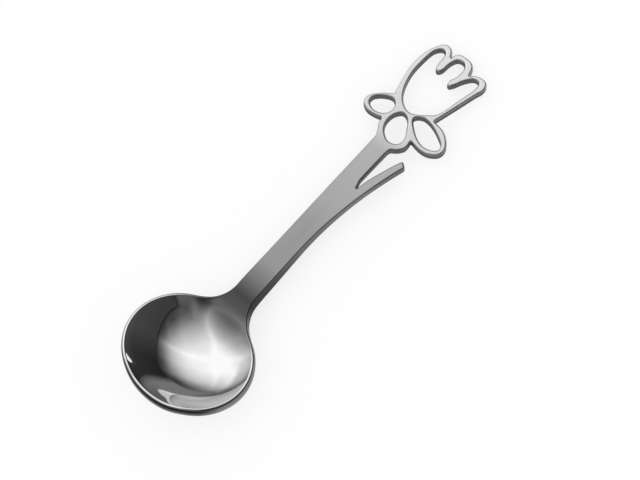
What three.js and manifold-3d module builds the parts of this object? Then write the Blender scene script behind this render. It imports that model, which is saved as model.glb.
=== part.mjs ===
import * as THREE from 'three';
import Module from 'manifold-3d';
import { mergeVertices } from 'three/addons/utils/BufferGeometryUtils.js';

const wasm = await Module();
wasm.setup();

// Sugar ladle pressed from one sheet of stainless steel, with a cut-out tulip at the end of its handle.
// All lengths are in millimetres. The ladle is shaped with the bowl's rim level, the bowl's centre at
// x = y = 0 and the handle along +x. It is then laid down on the bowl and the tulip's tip, with z up.

// Bowl, measured inside the rim
const bowlHalfLength = 16.3;
const bowlHalfWidth = 19.1;
const bowlDepth = 7;
const bowlWall = 2.2;
const rimLand = 0.6;
const rimHeight = 3.3;
const rimEdgeShare = 0.5;
const bowlPowerShare = 2;

// Sheet and its softened edges
const plateThickness = 2.5;
const edgeRadius = 0.45;

// Neck between the bowl and the handle
const neckStart = 1.7;
const neckLength = 9;
const neckHalfWidth = 3.6;
const neckRise = 1.8;
const browSoftness = 5;
const thickRun = 8;
const neckExtra = 1;
const neckFlare = 0.6;
const flareRun = 5.5;
const browFadeShares = [0.25, 0.62];
const shoulderShares = [0.57, 0.67];
const filletBowlPull = 3.3;
const filletNeckPull = 5.9;
const filletRun = 3.2;
const filletStartShare = 0.8;

// Handle from the neck to the fork of the side leaf
const handleLength = 39.5;
const handleHalfWidth = 3.5;
const waistDistance = 16;
const startRiseShare = 0.156;
const endRiseShare = 0.09;
const straightRun = 49;

// Stem above the fork, and the leaf blade beside it
const stemLength = 14.9;
const calyxRun = 0.6;
const stemShift = 0.45;
const stemRightHalfWidth = 2.3;
const forkInset = 0.6;
const forkSlot = 0.3;
const forkEase = 2.8;
const bladeLength = 13.4;
const bladeTipSkew = 1.4;
const bladeTipDrop = 5.95;
const bladeTipInset = 4.3;
const tipSkewShares = [0.5, 1];
const stemBendShare = 1.5;
const bladeFlareShare = 1.85;
const slotFlareShare = 1.6;

// Tulip: calyx, two leaves and a cup with three lobes
const tulipLength = 36.4;
const tulipHalfSpan = 14.5;
const whorlLength = 13.9;

// Steps of the fine mesh and the overrun of cuts
const overrun = 0.8;
const normalReach = 0.7;
const flatReach = 0.0001;
const bowlRings = 15;
const rimSteps = 24;
const filletSteps = 8;
const chordSteps = 3;
const outlineSteps = 3;
const stripStep = 1.5;
const filletSamples = 200;
const halvings = 40;

// Stations along the ladle before it is laid down
const neckStartX = bowlHalfLength + neckStart;
const neckEndX = neckStartX + neckLength;
const waistX = neckEndX + waistDistance;
const forkX = neckEndX + handleLength;
const stemEndX = forkX + stemLength;
const straightX = neckEndX + straightRun;
const bladeTipX = forkX + bladeLength;
const tulipX = stemEndX + calyxRun;
const whorlEndX = tulipX + whorlLength;

// Tulip outline as shares of its length and half span, from the stem's right edge round to its left edge
const calyxRightShares = [[-0.01, -0.18], [0.022, -0.29], [0.066, -0.37], [0.11, -0.38], [0.148, -0.36]];
const leafRightShares = [
  [0.148, -0.36], [0.132, -0.6], [0.143, -0.8], [0.192, -0.97], [0.258, -1],
  [0.325, -0.9], [0.382, -0.7], [0.402, -0.43],
];
const lobeRightShares = [
  [0.402, -0.43], [0.582, -0.55], [0.764, -0.665], [0.857, -0.73], [0.918, -0.68],
  [0.937, -0.55], [0.923, -0.39], [0.887, -0.3],
];
const lobeMiddleShares = [
  [0.887, -0.3], [0.958, -0.24], [0.993, -0.14], [1, -0.02], [0.998, 0.12], [0.973, 0.225], [0.926, 0.25],
];
const lobeLeftShares = [
  [0.926, 0.25], [0.978, 0.34], [0.997, 0.46], [0.981, 0.57], [0.929, 0.66],
  [0.846, 0.74], [0.758, 0.77], [0.646, 0.76], [0.511, 0.685], [0.395, 0.605],
];
const leafLeftShares = [
  [0.395, 0.605], [0.338, 0.8], [0.277, 0.94], [0.223, 0.99], [0.173, 0.93],
  [0.143, 0.77], [0.146, 0.59], [0.162, 0.44],
];
const calyxLeftShares = [[0.162, 0.44], [0.115, 0.41], [0.066, 0.335], [0.016, 0.275]];
const outlineShares = [
  calyxRightShares, leafRightShares, lobeRightShares, lobeMiddleShares,
  lobeLeftShares, leafLeftShares, calyxLeftShares,
];

// Openings cut through the tulip, as shares of the same two sizes
const cupOpeningShares = [
  [0.341, 0.08], [0.371, 0.3], [0.456, 0.48], [0.61, 0.61], [0.769, 0.63], [0.89, 0.59], [0.937, 0.48],
  [0.915, 0.395], [0.815, 0.365], [0.768, 0.325], [0.757, 0.26], [0.785, 0.195], [0.879, 0.165],
  [0.937, 0.1], [0.948, -0.02], [0.915, -0.105], [0.82, -0.11], [0.763, -0.06], [0.72, -0.075],
  [0.712, -0.135], [0.742, -0.2], [0.824, -0.3], [0.885, -0.43], [0.887, -0.53], [0.843, -0.57],
  [0.659, -0.48], [0.467, -0.36], [0.412, -0.22],
];
const leafLeftOpeningShares = [
  [0.181, 0.68], [0.214, 0.85], [0.264, 0.86], [0.316, 0.74],
  [0.349, 0.54], [0.321, 0.43], [0.258, 0.4], [0.203, 0.49],
];
const leafRightOpeningShares = [
  [0.319, -0.08], [0.365, -0.2], [0.363, -0.41], [0.324, -0.66], [0.269, -0.86],
  [0.22, -0.87], [0.181, -0.68], [0.19, -0.48], [0.247, -0.24],
];
const calyxOpeningShares = [
  [0.124, 0.26], [0.187, 0.3], [0.253, 0.27], [0.299, 0.17], [0.286, 0.04],
  [0.217, -0.1], [0.135, -0.21], [0.071, -0.19], [0.041, -0.02], [0.069, 0.14],
];
const openingShares = [
  cupOpeningShares, leafLeftOpeningShares, leafRightOpeningShares, calyxOpeningShares,
];

function easeShare([from, to], value) {
  const t = THREE.MathUtils.clamp((value - from) / (to - from), 0, 1);
  return t * t * (3 - 2 * t);
}

// Height of the handle's upper face: level with the rim at the bowl, a short rise, then a slow arch
function handleTop(x) {
  if (x < neckEndX) {
    const run = neckEndX - bowlHalfLength;
    const t = THREE.MathUtils.clamp((x - bowlHalfLength) / run, 0, 1);
    return neckRise * t * t * (3 - 2 * t) + startRiseShare * run * t * t * (t - 1);
  }
  const bent = Math.min(x, straightX) - neckEndX;
  const easing = (endRiseShare - startRiseShare) / (2 * straightRun);
  const straight = Math.max(x - straightX, 0);
  return neckRise + startRiseShare * bent + easing * bent * bent + endRiseShare * straight;
}

// Height of the bowl's inner face: a shallow cap that runs on upwards outside the rim
function bowlTop(x, y) {
  const share = Math.hypot(x / bowlHalfLength, y / bowlHalfWidth);
  const power = bowlPowerShare;
  const edge = (1 - rimEdgeShare ** power) ** (1 / power);
  const steepness = (bowlDepth * rimEdgeShare ** power * edge ** (1 - power)) / (1 - edge);
  if (share > 1) return steepness * (share - 1);
  const level = (1 - (rimEdgeShare * share) ** power) ** (1 / power);
  return (-bowlDepth * (level - edge)) / (1 - edge);
}

// Upper face of the whole pressing, with the soft brow where the bowl rolls over into the neck
function sheetTop(x, y) {
  const acrossShare = Math.abs(y) / bowlHalfWidth;
  const soft = browSoftness * (1 - easeShare(browFadeShares, acrossShare)) + flatReach;
  const bowl = bowlTop(x, y);
  const handle = handleTop(x) + bowlDepth * easeShare(shoulderShares, acrossShare);
  const near = Math.max(soft - Math.abs(bowl - handle), 0) / soft;
  return Math.min(bowl, handle) - (near ** 3 * soft) / 6;
}

// Thickness of the handle: fullest where it meets the bowl
function stripThickness(x) {
  return plateThickness + neckExtra * (1 - easeShare([neckStartX, forkX], x));
}

// Extra width of the handle's back over its front, widest where the neck leaves the bowl
function backFlare(x) {
  const start = easeShare([neckStartX - flareRun, neckStartX - flareRun / 2], x);
  return neckFlare * start * (1 - easeShare([neckStartX, forkX], x));
}

// Point of the outer face: the wall stands nearly upright under the rim and thickens down into the neck
function underPoint(top, x, edge) {
  const share = edge.share ** 2;
  const neck = easeShare([neckStartX - thickRun, neckStartX], x);
  const slope = (handleTop(x + normalReach) - handleTop(x - normalReach)) / (2 * normalReach);
  const bowlDrop = THREE.MathUtils.lerp(bowlWall, rimHeight, share);
  const drop = THREE.MathUtils.lerp(bowlDrop, stripThickness(x) * Math.hypot(1, slope), neck);
  const land = edge.chord ? 0 : THREE.MathUtils.lerp(rimLand, backFlare(x), neck) * edge.share ** 3;
  return new THREE.Vector3(top.x + edge.wayX * land, top.y + edge.wayY * land, top.z - drop);
}

// Fillet from the bowl's oval to the neck's side, seen from above
const filletStartX = bowlHalfLength * filletStartShare;
const filletStartY = bowlHalfWidth * Math.sqrt(1 - filletStartShare ** 2);
const filletLean = new THREE.Vector2(
  filletStartY * bowlHalfLength ** 2, -filletStartX * bowlHalfWidth ** 2,
).normalize();
const filletEndX = neckEndX - filletRun;
const neckFillet = new THREE.CubicBezierCurve(
  new THREE.Vector2(filletStartX, filletStartY),
  new THREE.Vector2(filletStartX, filletStartY).addScaledVector(filletLean, filletBowlPull),
  new THREE.Vector2(filletEndX - filletNeckPull, neckHalfWidth),
  new THREE.Vector2(filletEndX, neckHalfWidth),
);

function neckHalfWidthAt(x) {
  if (x > filletEndX) {
    return THREE.MathUtils.lerp(neckHalfWidth, handleHalfWidth, easeShare([filletEndX, waistX], x));
  }
  let low = 0;
  let high = 1;
  for (let round = 0; round < halvings; round += 1) {
    const middle = (low + high) / 2;
    if (neckFillet.getPoint(middle).x < x) low = middle;
    else high = middle;
  }
  return neckFillet.getPoint(low).y;
}

// Edges of the handle seen from above: the left one nearly straight, the right one flaring into the leaf
function leftEdge(x) {
  const run = Math.max(x - waistX, 0) / (stemEndX - waistX);
  return neckHalfWidthAt(x) + stemShift * run ** stemBendShare;
}

function rightEdge(x) {
  const run = Math.max(x - waistX, 0) / (bladeTipX - waistX);
  return -neckHalfWidthAt(x) - bladeTipDrop * run ** bladeFlareShare;
}

function stemRightEdge(x) {
  return -stemRightHalfWidth - forkInset * (1 - easeShare([forkX, forkX + forkEase], x));
}

function bladeInnerEdge(x) {
  const run = Math.max(x - forkX, 0) / bladeLength;
  return stemRightEdge(forkX) - forkSlot - bladeTipInset * run ** slotFlareShare;
}

// Closed body from rings of points that match one another, with both ends capped flat
function loftBody(rings) {
  const positions = [];
  const triangles = [];
  const count = rings[0].length;
  for (const ring of rings) {
    for (const point of ring) positions.push(...point);
  }
  for (let r = 0; r + 1 < rings.length; r += 1) {
    for (let k = 0; k < count; k += 1) {
      const a = r * count + k;
      const b = r * count + ((k + 1) % count);
      triangles.push(a, a + count, b, b, a + count, b + count);
    }
  }
  const last = (rings.length - 1) * count;
  for (let k = 1; k + 1 < count; k += 1) {
    triangles.push(0, k, k + 1);
    triangles.push(last, last + k + 1, last + k);
  }
  return meshSolid(positions, triangles);
}

function meshSolid(positions, triangles) {
  const mesh = new wasm.Mesh({
    numProp: 3,
    vertProperties: new Float32Array(positions),
    triVerts: new Uint32Array(triangles),
  });
  return new wasm.Manifold(mesh);
}

// Cross-section of the flat sheet with four softened corners, running clockwise seen from +x
function stripRing(x, left, right, skew) {
  const slope = (handleTop(x + normalReach) - handleTop(x - normalReach)) / (2 * normalReach);
  const top = handleTop(x);
  const bottom = top - stripThickness(x) * Math.hypot(1, slope);
  const flare = backFlare(x) - edgeRadius;
  const corners = [
    [left - edgeRadius, top - edgeRadius, 0], [left + flare, bottom + edgeRadius, -1],
    [right - flare, bottom + edgeRadius, -2], [right + edgeRadius, top - edgeRadius, -3],
  ];
  const ring = [];
  for (const [y, z, quarter] of corners) {
    for (const half of [1, 0, -1]) {
      const angle = (Math.PI / 4) * (2 * quarter + 1 + half);
      const across = y + edgeRadius * Math.cos(angle);
      const lean = (skew * (across - right)) / (left - right);
      ring.push([x + lean, across, z + edgeRadius * Math.sin(angle) + lean * slope]);
    }
  }
  return ring;
}

function stripBody(fromX, toX, left, right, tipSkew = 0) {
  const steps = Math.ceil((toX - fromX) / stripStep);
  const rings = [];
  for (let step = 0; step <= steps; step += 1) {
    const x = THREE.MathUtils.lerp(fromX, toX, step / steps);
    const skew = tipSkew * easeShare(tipSkewShares, step / steps);
    rings.push(stripRing(x, left(x), right(x), skew));
  }
  return loftBody(rings);
}

// Rim line of the bowl and neck, from the neck's middle round one side to the lip
function halfRimLine() {
  const line = [];
  const endX = neckStartX + overrun;
  const endY = neckHalfWidthAt(endX);
  for (let step = 0; step < chordSteps; step += 1) line.push([endX, (endY * step) / chordSteps, true]);
  let from = 0;
  for (let t = 0; t < 1; t += 1 / filletSamples) {
    if (neckFillet.getPoint(t).x < endX) from = t;
  }
  for (let step = 0; step < filletSteps; step += 1) {
    const point = neckFillet.getPoint(from * (1 - step / filletSteps));
    if (step === 0) line.push([endX, endY, false]);
    else line.push([point.x, point.y, false]);
  }
  const startAngle = Math.acos(filletStartShare);
  for (let step = 0; step <= rimSteps; step += 1) {
    const angle = THREE.MathUtils.lerp(startAngle, Math.PI, step / rimSteps);
    line.push([bowlHalfLength * Math.cos(angle), bowlHalfWidth * Math.sin(angle), false]);
  }
  return line;
}

// Bowl with the first part of the neck: an inner face, an outer face below it and a soft rim between
function bowlBody() {
  const half = halfRimLine();
  const mirrored = half.slice(1, -1).reverse().map(([x, y, chord]) => [x, -y, chord]);
  const line = [...half, ...mirrored];
  const count = line.length;
  const rim = line.map(([x, y, chord], k) => {
    const [px, py] = line[(k + count - 1) % count];
    const [nx, ny] = line[(k + 1) % count];
    const top = new THREE.Vector3(x, y, sheetTop(x, y));
    const reach = Math.hypot(nx - px, ny - py);
    const way = { wayX: (ny - py) / reach, wayY: (px - nx) / reach, chord };
    const down = underPoint(top, x, { ...way, share: 1 }).sub(top);
    const thickness = down.length();
    down.normalize();
    const along = new THREE.Vector3(nx - px, ny - py, sheetTop(nx, ny) - sheetTop(px, py)).normalize();
    const outward = new THREE.Vector3().crossVectors(down, along).normalize();
    return { top, down, outward, chord, thickness, way };
  });
  const rows = [];
  const fullTurn = Math.asin(rimEdgeShare);
  const shares = Array.from({ length: bowlRings }, (_, k) => {
    return Math.sin((fullTurn * (k + 1)) / bowlRings) / rimEdgeShare;
  });
  const topRim = rim.map(({ top, outward, chord }) => {
    return top.clone().addScaledVector(outward, chord ? 0 : -edgeRadius);
  });
  const innerRow = (share, under) => topRim.map((edge, k) => {
    if (share === 1) return edge.clone().addScaledVector(rim[k].down, under ? rim[k].thickness : 0);
    const x = edge.x * share;
    const y = edge.y * share;
    const point = new THREE.Vector3(x, y, sheetTop(x, y));
    return under ? underPoint(point, x, { ...rim[k].way, share }) : point;
  });
  const sharpShares = shares.slice(0, -1).concat(1);
  for (const share of sharpShares) rows.push(innerRow(share, false));
  for (const [turn, side] of [[1, 0], [2, 0], [0, 1], [1, 1]]) {
    rows.push(rim.map(({ top, down, outward, chord, thickness }) => {
      const radius = chord ? 0 : edgeRadius;
      const angle = (Math.PI / 4) * (side ? turn + 2 : turn);
      const depth = side
        ? thickness - radius * (1 + Math.cos(angle))
        : radius * (1 - Math.cos(angle));
      const reach = radius * (Math.sin(angle) - 1);
      return top.clone().addScaledVector(down, depth).addScaledVector(outward, reach);
    }));
  }
  for (const share of [...sharpShares].reverse()) rows.push(innerRow(share, true));
  const positions = [0, 0, sheetTop(0, 0)];
  for (const row of rows) {
    for (const point of row) positions.push(point.x, point.y, point.z);
  }
  const bottom = underPoint(new THREE.Vector3(...positions), 0, { ...rim[0].way, share: 0 });
  positions.push(bottom.x, bottom.y, bottom.z);
  const last = 1 + rows.length * count;
  const triangles = [];
  for (let k = 0; k < count; k += 1) {
    const next = (k + 1) % count;
    triangles.push(0, 1 + k, 1 + next);
    for (let r = 0; r + 1 < rows.length; r += 1) {
      const a = 1 + r * count;
      const b = a + count;
      triangles.push(a + k, b + k, a + next, a + next, b + k, b + next);
    }
    const end = last - count;
    triangles.push(last, end + next, end + k);
  }
  return meshSolid(positions, triangles);
}

function tulipPoint([alongShare, acrossShare]) {
  return new THREE.Vector2(tulipX + alongShare * tulipLength, acrossShare * tulipHalfSpan);
}

// Tulip sheet cut by its outline and openings, its upper face in line with the stem
function tulipBody() {
  const startX = stemEndX - overrun;
  const shape = new THREE.Shape();
  shape.moveTo(startX, leftEdge(startX));
  shape.lineTo(startX, stemRightEdge(startX));
  for (const shares of outlineShares) {
    const points = shares.map(tulipPoint);
    if (shares === calyxRightShares) shape.lineTo(points[0].x, points[0].y);
    const curve = new THREE.SplineCurve(points);
    const run = curve.getPoints((points.length - 1) * outlineSteps).slice(1);
    for (const point of run) shape.lineTo(point.x, point.y);
  }
  for (const shares of openingShares) {
    const points = shares.map(tulipPoint).map((point) => new THREE.Vector3(point.x, point.y, 0));
    const curve = new THREE.CatmullRomCurve3(points, true);
    const run = curve.getPoints(points.length * outlineSteps).slice(1);
    shape.holes.push(new THREE.Path(run.map((point) => new THREE.Vector2(point.x, point.y))));
  }
  const geometry = new THREE.ExtrudeGeometry(shape, {
    depth: plateThickness - 2 * edgeRadius,
    bevelThickness: edgeRadius,
    bevelSize: edgeRadius,
    bevelOffset: -edgeRadius,
    bevelSegments: 2,
  });
  geometry.deleteAttribute('normal');
  geometry.deleteAttribute('uv');
  const merged = mergeVertices(geometry, flatReach);
  const place = merged.getAttribute('position');
  const drop = plateThickness - edgeRadius;
  for (let k = 0; k < place.count; k += 1) {
    const x = place.getX(k);
    const z = (place.getZ(k) - drop) * Math.hypot(1, endRiseShare);
    place.setZ(k, z + handleTop(x));
  }
  return meshSolid([...place.array], [...merged.index.array]);
}

// The rest position: the ladle tips until the bowl and the tulip's tip touch the same level
function least(solid, alongShare, upShare) {
  const mesh = solid.getMesh();
  let low = Infinity;
  for (let k = 0; k < mesh.vertProperties.length; k += mesh.numProp) {
    low = Math.min(low, mesh.vertProperties[k] * alongShare + mesh.vertProperties[k + 2] * upShare);
  }
  return low;
}

function lowest(solid, tilt) {
  return least(solid, -Math.sin(tilt), Math.cos(tilt));
}

const bowlRaw = bowlBody();
const tulipRaw = tulipBody();
let gentle = 0;
let steep = Math.PI / 4;
for (let round = 0; round < halvings; round += 1) {
  const tilt = (gentle + steep) / 2;
  if (lowest(tulipRaw, tilt) > lowest(bowlRaw, tilt)) gentle = tilt;
  else steep = tilt;
}
const restTilt = gentle;
const restLift = -lowest(bowlRaw, restTilt);

function laidX(x, z) {
  return x * Math.cos(restTilt) + z * Math.sin(restTilt);
}

const lipX = least(bowlRaw, Math.cos(restTilt), Math.sin(restTilt));
const tipX = -least(tulipRaw, -Math.cos(restTilt), -Math.sin(restTilt));
const restShift = -(lipX + tipX) / 2;

function laidDown(solid) {
  return solid.warp((point) => {
    const [x, , z] = point;
    point[0] = laidX(x, z) + restShift;
    point[2] = z * Math.cos(restTilt) - x * Math.sin(restTilt) + restLift;
  });
}

function stationX(x) {
  return laidX(x, handleTop(x)) + restShift;
}

function between(solid, fromX, toX) {
  let part = solid;
  if (fromX !== null) part = part.trimByPlane([1, 0, 0], stationX(fromX));
  if (toX !== null) part = part.trimByPlane([-1, 0, 0], -stationX(toX));
  return part;
}

// Points on a cut are set on its plane, so that the two sides of a cut meet flat
function settledGeometry(solid, cuts) {
  const mesh = solid.getMesh();
  const positions = new Float32Array(mesh.numVert * 3);
  for (let k = 0; k < mesh.numVert; k += 1) {
    for (let axis = 0; axis < 3; axis += 1) {
      positions[3 * k + axis] = mesh.vertProperties[k * mesh.numProp + axis];
    }
    for (const cut of cuts) {
      if (Math.abs(positions[3 * k] - stationX(cut)) < flatReach) positions[3 * k] = stationX(cut);
    }
  }
  const geometry = new THREE.BufferGeometry();
  geometry.setAttribute('position', new THREE.BufferAttribute(positions, 3));
  geometry.setIndex([...mesh.triVerts]);
  geometry.computeVertexNormals();
  return geometry;
}

function polishedSteel(color, roughness) {
  return new THREE.MeshStandardMaterial({ color, roughness, metalness: 1 });
}

const ladle = new THREE.Group();
ladle.name = 'sugar_ladle';

function addPart(name, solid, fromX, toX, material) {
  const cuts = [fromX, toX].filter((cut) => cut !== null);
  const mesh = new THREE.Mesh(settledGeometry(between(solid, fromX, toX), cuts), material);
  mesh.name = name;
  ladle.add(mesh);
}

const bowlLaid = laidDown(bowlRaw);
const handleLaid = laidDown(stripBody(neckStartX - overrun, forkX + overrun, leftEdge, rightEdge));
const stemLaid = laidDown(stripBody(forkX - overrun, stemEndX + overrun, leftEdge, stemRightEdge));
const bladeLaid = laidDown(stripBody(forkX - overrun, bladeTipX, bladeInnerEdge, rightEdge, bladeTipSkew));
const tulipLaid = laidDown(tulipRaw);

addPart('bowl', bowlLaid, null, neckStartX, polishedSteel(0xb4b4b8, 0.08));
addPart('neck', handleLaid, neckStartX, neckEndX, polishedSteel(0xb0b0b3, 0.2));
addPart('handle', handleLaid, neckEndX, forkX, polishedSteel(0xb4b4b6, 0.25));
addPart('stem', stemLaid, forkX, stemEndX, polishedSteel(0xb8b8ba, 0.25));
addPart('side_leaf', bladeLaid, forkX, null, polishedSteel(0xb8b8ba, 0.25));
addPart('leaf_whorl', tulipLaid, stemEndX, whorlEndX, polishedSteel(0xc2c2c4, 0.25));
addPart('tulip_cup', tulipLaid, whorlEndX, null, polishedSteel(0xc6c6c8, 0.25));

export default ladle;
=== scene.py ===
import math

import bmesh
import bpy
import numpy as np
from mathutils import Matrix, Vector
from mathutils.geometry import delaunay_2d_cdt


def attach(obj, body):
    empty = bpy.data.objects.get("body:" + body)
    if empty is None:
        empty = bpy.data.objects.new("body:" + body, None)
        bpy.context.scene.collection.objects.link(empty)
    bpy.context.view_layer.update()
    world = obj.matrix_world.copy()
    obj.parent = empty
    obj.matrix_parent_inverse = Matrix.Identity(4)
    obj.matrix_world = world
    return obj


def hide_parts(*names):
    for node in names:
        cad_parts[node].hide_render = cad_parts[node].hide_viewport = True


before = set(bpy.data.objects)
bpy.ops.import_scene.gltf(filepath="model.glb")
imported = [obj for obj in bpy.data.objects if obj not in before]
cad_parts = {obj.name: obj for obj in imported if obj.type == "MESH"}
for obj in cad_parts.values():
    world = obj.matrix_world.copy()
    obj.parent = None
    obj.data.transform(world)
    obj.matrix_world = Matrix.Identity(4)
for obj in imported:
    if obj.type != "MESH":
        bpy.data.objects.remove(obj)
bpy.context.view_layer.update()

# Sugar ladle pressed from one sheet of stainless steel. Lengths are in millimetres, with the bowl's rim
# level, its centre at x = y = 0 and the handle along +x. At the end the ladle is laid down on the bowl and
# the back of the tulip, in metres.

# Bowl, measured inside the rim
BOWL_X = 16.3
BOWL_Y = 19.1
BOWL_DEPTH = 7.0
BOWL_WALL = 2.2
RIM_LAND = 0.6
RIM_HEIGHT = 3.3
RIM_EDGE_SHARE = 0.5
RIM_ROUND = 0.9
RIM_FALL = 1.1

# Sheet and its softened edges, which are rounder on the handle and roundest on the flower. The first run
# is counted from the join, the second from the fork.
PLATE = 2.5
EDGE = 0.45
HANDLE_EDGE = 0.5
HANDLE_EDGE_RUN = 12.0
FLOWER_EDGE = 0.7
FLOWER_EDGE_RUN = (-8.0, 12.0)

# Neck between the bowl and the handle. BROW says how softly the bowl's face turns into the neck's, and SHARP
# is what is left of that softness at the shoulders.
NECK_START = BOWL_X + 1.7
NECK_END = NECK_START + 9.0
NECK_HALF = 3.6
NECK_RISE = 1.8
BROW = 5.0
THICK_RUN = 8.0
NECK_EXTRA = 1.0
NECK_FLARE = 0.6
FLARE_RUN = 5.5
BROW_FADE_SHARES = (0.25, 0.62)
SHOULDER_SHARES = (0.57, 0.67)
SHARP = 0.0001
FILLET_START_SHARE = 0.8
FILLET_BOWL_PULL = 3.3
FILLET_NECK_PULL = 5.9
FILLET_END = NECK_END - 3.2

# Handle from the neck to the fork of the side leaf
HANDLE_HALF = 3.5
WAIST = NECK_END + 16.0
FORK = NECK_END + 39.5
START_RISE = 0.156
END_RISE = 0.09
STRAIGHT_RUN = 49.0
STRAIGHT = NECK_END + STRAIGHT_RUN

# Stem above the fork, and the leaf blade beside it
STEM_END = FORK + 14.9
STEM_SHIFT = 0.45
STEM_BEND = 1.5
STEM_HALF = 2.3
FORK_INSET = 0.6
FORK_EASE = 2.8
FORK_SLOT = 0.3
CROTCH = [(-0.12, -3.12), (-0.16, -3.05), (-0.12, -2.98)]
BLADE_TIP = FORK + 13.4
BLADE_DROP = 5.95
BLADE_FLARE = 1.85
BLADE_INSET = 4.3
SLOT_FLARE = 1.6
BLADE_SKEW = 1.4
TIP_SKEW_SHARES = (0.5, 1)
TIP_ROUND = 0.5
OVERRUN = 0.8

# Tulip: calyx, two leaves and a cup with three lobes
TULIP_X = STEM_END + 0.6
TULIP_LENGTH = 36.4
TULIP_SPAN = 14.5

# The ladle as it lies on a table
REST_TILT = 0.15621
REST_LIFT = 9.3705
REST_SHIFT = -50.7708
MM = 0.001

# Where the photograph was taken from, beside the level bowl: the eye in millimetres, the way it faces and
# how steeply it looks down in degrees
CAMERA_EYE = (-151.06, -183.37, 496.01)
CAMERA_HEADING = -48.238
CAMERA_HEIGHT = 61.5
CAMERA_LENS = 112.5
CAMERA_SENSOR = 36
CAMERA_NEAR = 0.01

# Fineness of the shown mesh, which is made in two patches that meet at JOIN_X. TIP_AIM counts the points
# from the leaf's tip to where its two rounded corners aim, on its outer and inner edge, and TIP_SKIP the
# points of either edge that they replace.
JOIN_X = 22.0
TURNS = np.radians([0, 12, 25, 38, 52, 65, 78, 90])
BOWL_ROWS = 56
NECK_COLUMNS = 25
RIM_COLUMNS = 85
CHORD_POINTS = 13
BEZIER_STEPS = 2000
SPLINE_STEPS = 8
CORNER_STEPS = 6
EDGE_POINTS = 260
BLADE_POINTS = 80
STEM_POINTS = 60
TIP_AIM = (6, 8)
TIP_SKIP = (2, 4)

# Points of the handle and the head: a grid on the flat, and rings that follow each edge. A ring's point stays
# where no edge is nearer than RING_SHARE of the ring's distance less RING_SLACK, and JOIN_CLEAR keeps rings
# and grid off the join.
OUTLINE_STEP = 0.3
GRID_STEP = 0.55
GRID_SQUEEZE = 0.9
GRID_CLEAR = 0.2
RING_SHARE = 0.97
RING_SLACK = 0.001
JOIN_CLEAR = (0.12, 0.4)

# Limits of the reckoning: the reach of a slope, the points handled at once, lengths that count as none, and
# how near the join and one another points are welded
SLOPE_REACH = 0.05
CHUNK = 400
TINY = 1e-6
LEAST_GAP = 1e-9
SEAM_REACH = 1.2 * MM
SEAM_GAP = 0.002 * MM

# How upright the bowl's edge counts at each turn of its rounding, at the lip and at the foot of its wall,
# which also sets how much painted shade the edge gets
WALL_TURNS = (0, 25, 40, 50)
LIP_WALL = (0, 0.75, 0.86, 1)
FOOT_WALL = (0, 0.75, 0.86, 0.93)

# Tone of the steel with painted shade along it, darkest at the neck and paler on the flower, and how satin it
# is, by millimetres along the ladle from the bowl's middle
TONE_AND_PAINTED_SHADE_STOPS = [
    (0, 0.88), (8, 0.88), (11, 0.6), (14, 0.24), (18, 0.1), (22, 0.07), (34, 0.32), (50, 0.35), (58, 0.41),
    (80, 0.49), (87, 0.72), (118, 0.86), (120, 0.86),
]
SATIN_STOPS = [(0, 0), (8, 0), (20, 0.4), (30, 0.8), (45, 1), (120, 1)]
COOL_TINT = (0.992, 0.99)

# Painted shade, a grey painted reflection on the front wall inside the bowl, by share of the bowl's radius
# and by millimetres frontwards
FRONT_PAINTED_SHADE = 0.42
FRONT_SHADE_RADIUS_STOPS = [(0, 0), (0.72, 0), (0.8, 1), (0.96, 1), (0.975, 0), (1, 0)]
FRONT_WAY = (-0.57, -0.82)
FRONT_STOPS = [(0, 0), (5, 0), (10, 1), (20, 1)]

# Share of painted shade, and of dimmed glancing shine, by how upright an edge is, and the painted shade of
# the edges along the ladle
WALL_STOPS = [(0, 0), (0.5, 0), (0.75, 0.2), (0.92, 0.75), (1, 1)]
GRAZE_STOPS = [(0, 1), (0.85, 0.9), (1, 0.6)]
EDGE_PAINTED_SHADE_STOPS = [
    (-20, 0.015), (-11, 0.02), (-6, 0.2), (12, 0.18), (20, 0.03), (30, 0.08), (42, 0.2), (66, 0.24),
    (84, 0.13), (118, 0.13),
]

# Brushing, cloudiness and scratches: how each noise is stretched, its scale and its detail, and how far it
# changes the steel's shade, roughness and relief
GRAIN = ((30, 900, 200), 1, 3)
CLOUD = ((1, 1, 1), 160, 3)
SCRATCH = ((60, 1400, 300), 1, 2)
SCRATCH_FROM = 0.63
SCRATCH_GAIN = 8
NOISE_MEAN = 0.5
GRAIN_SHADE = 0.16
BOWL_ROUGH = 0.045
SATIN_ROUGH = 0.25
CLOUD_ROUGH = 0.02
SCRATCH_ROUGH = 0.08
WALL_ROUGH = 0.12
BUMP_DEPTH = 0.01 * MM
BUMP_LEAST = 0.02
BUMP_SATIN = 0.5
BUMP_SCRATCH = 0.3

# Room that shines in the polished steel. A bent edge parts its bright side from its dim front: EDGE_WAY
# points across that edge and EDGE_LINE along it, and EDGE_COURSE gives its course as a cubic. The dim front
# ends at END_AT along END_WAY and at LINE_END along the edge, and the room has one level past those ends.
# Brightness follows the distance beyond the edge and further ways across the room.
EDGE_WAY = (0.04, 0.45, 0.892)
EDGE_LINE = (0.43, 0.8, -0.42)
EDGE_COURSE = (0.506, -0.107, 0.01, 0.18)
EDGE_SOFT = 0.016
END_WAY = (-0.82, 0.57, 0)
END_AT = 0.06
END_SOFT = 0.06
END_LEVEL = 0.17
LINE_END = 0.86
LINE_END_SOFT = 0.04
BRIGHT_STOPS = [(0, 0.49), (0.1, 0.38), (0.18, 0.4), (0.3, 0.53), (0.45, 0.62), (0.7, 0.23)]
BRIGHT_WAYS = [
    ((0.8, 0.46, -0.38), [(-1, -0.5), (-0.6, -0.2), (0, 0.34), (0.3, 0.25), (0.6, 0.03), (1, -0.85)]),
    ((-0.65, 0.76, 0.1), [(-1, -0.65), (-0.6, -0.75), (-0.3, -0.22), (0, 0.03), (0.6, 0.26), (1, 0.15)]),
]
DIM_STOPS = [(-0.8, 0.14), (-0.4, 0.06), (0, 0.045)]
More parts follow.
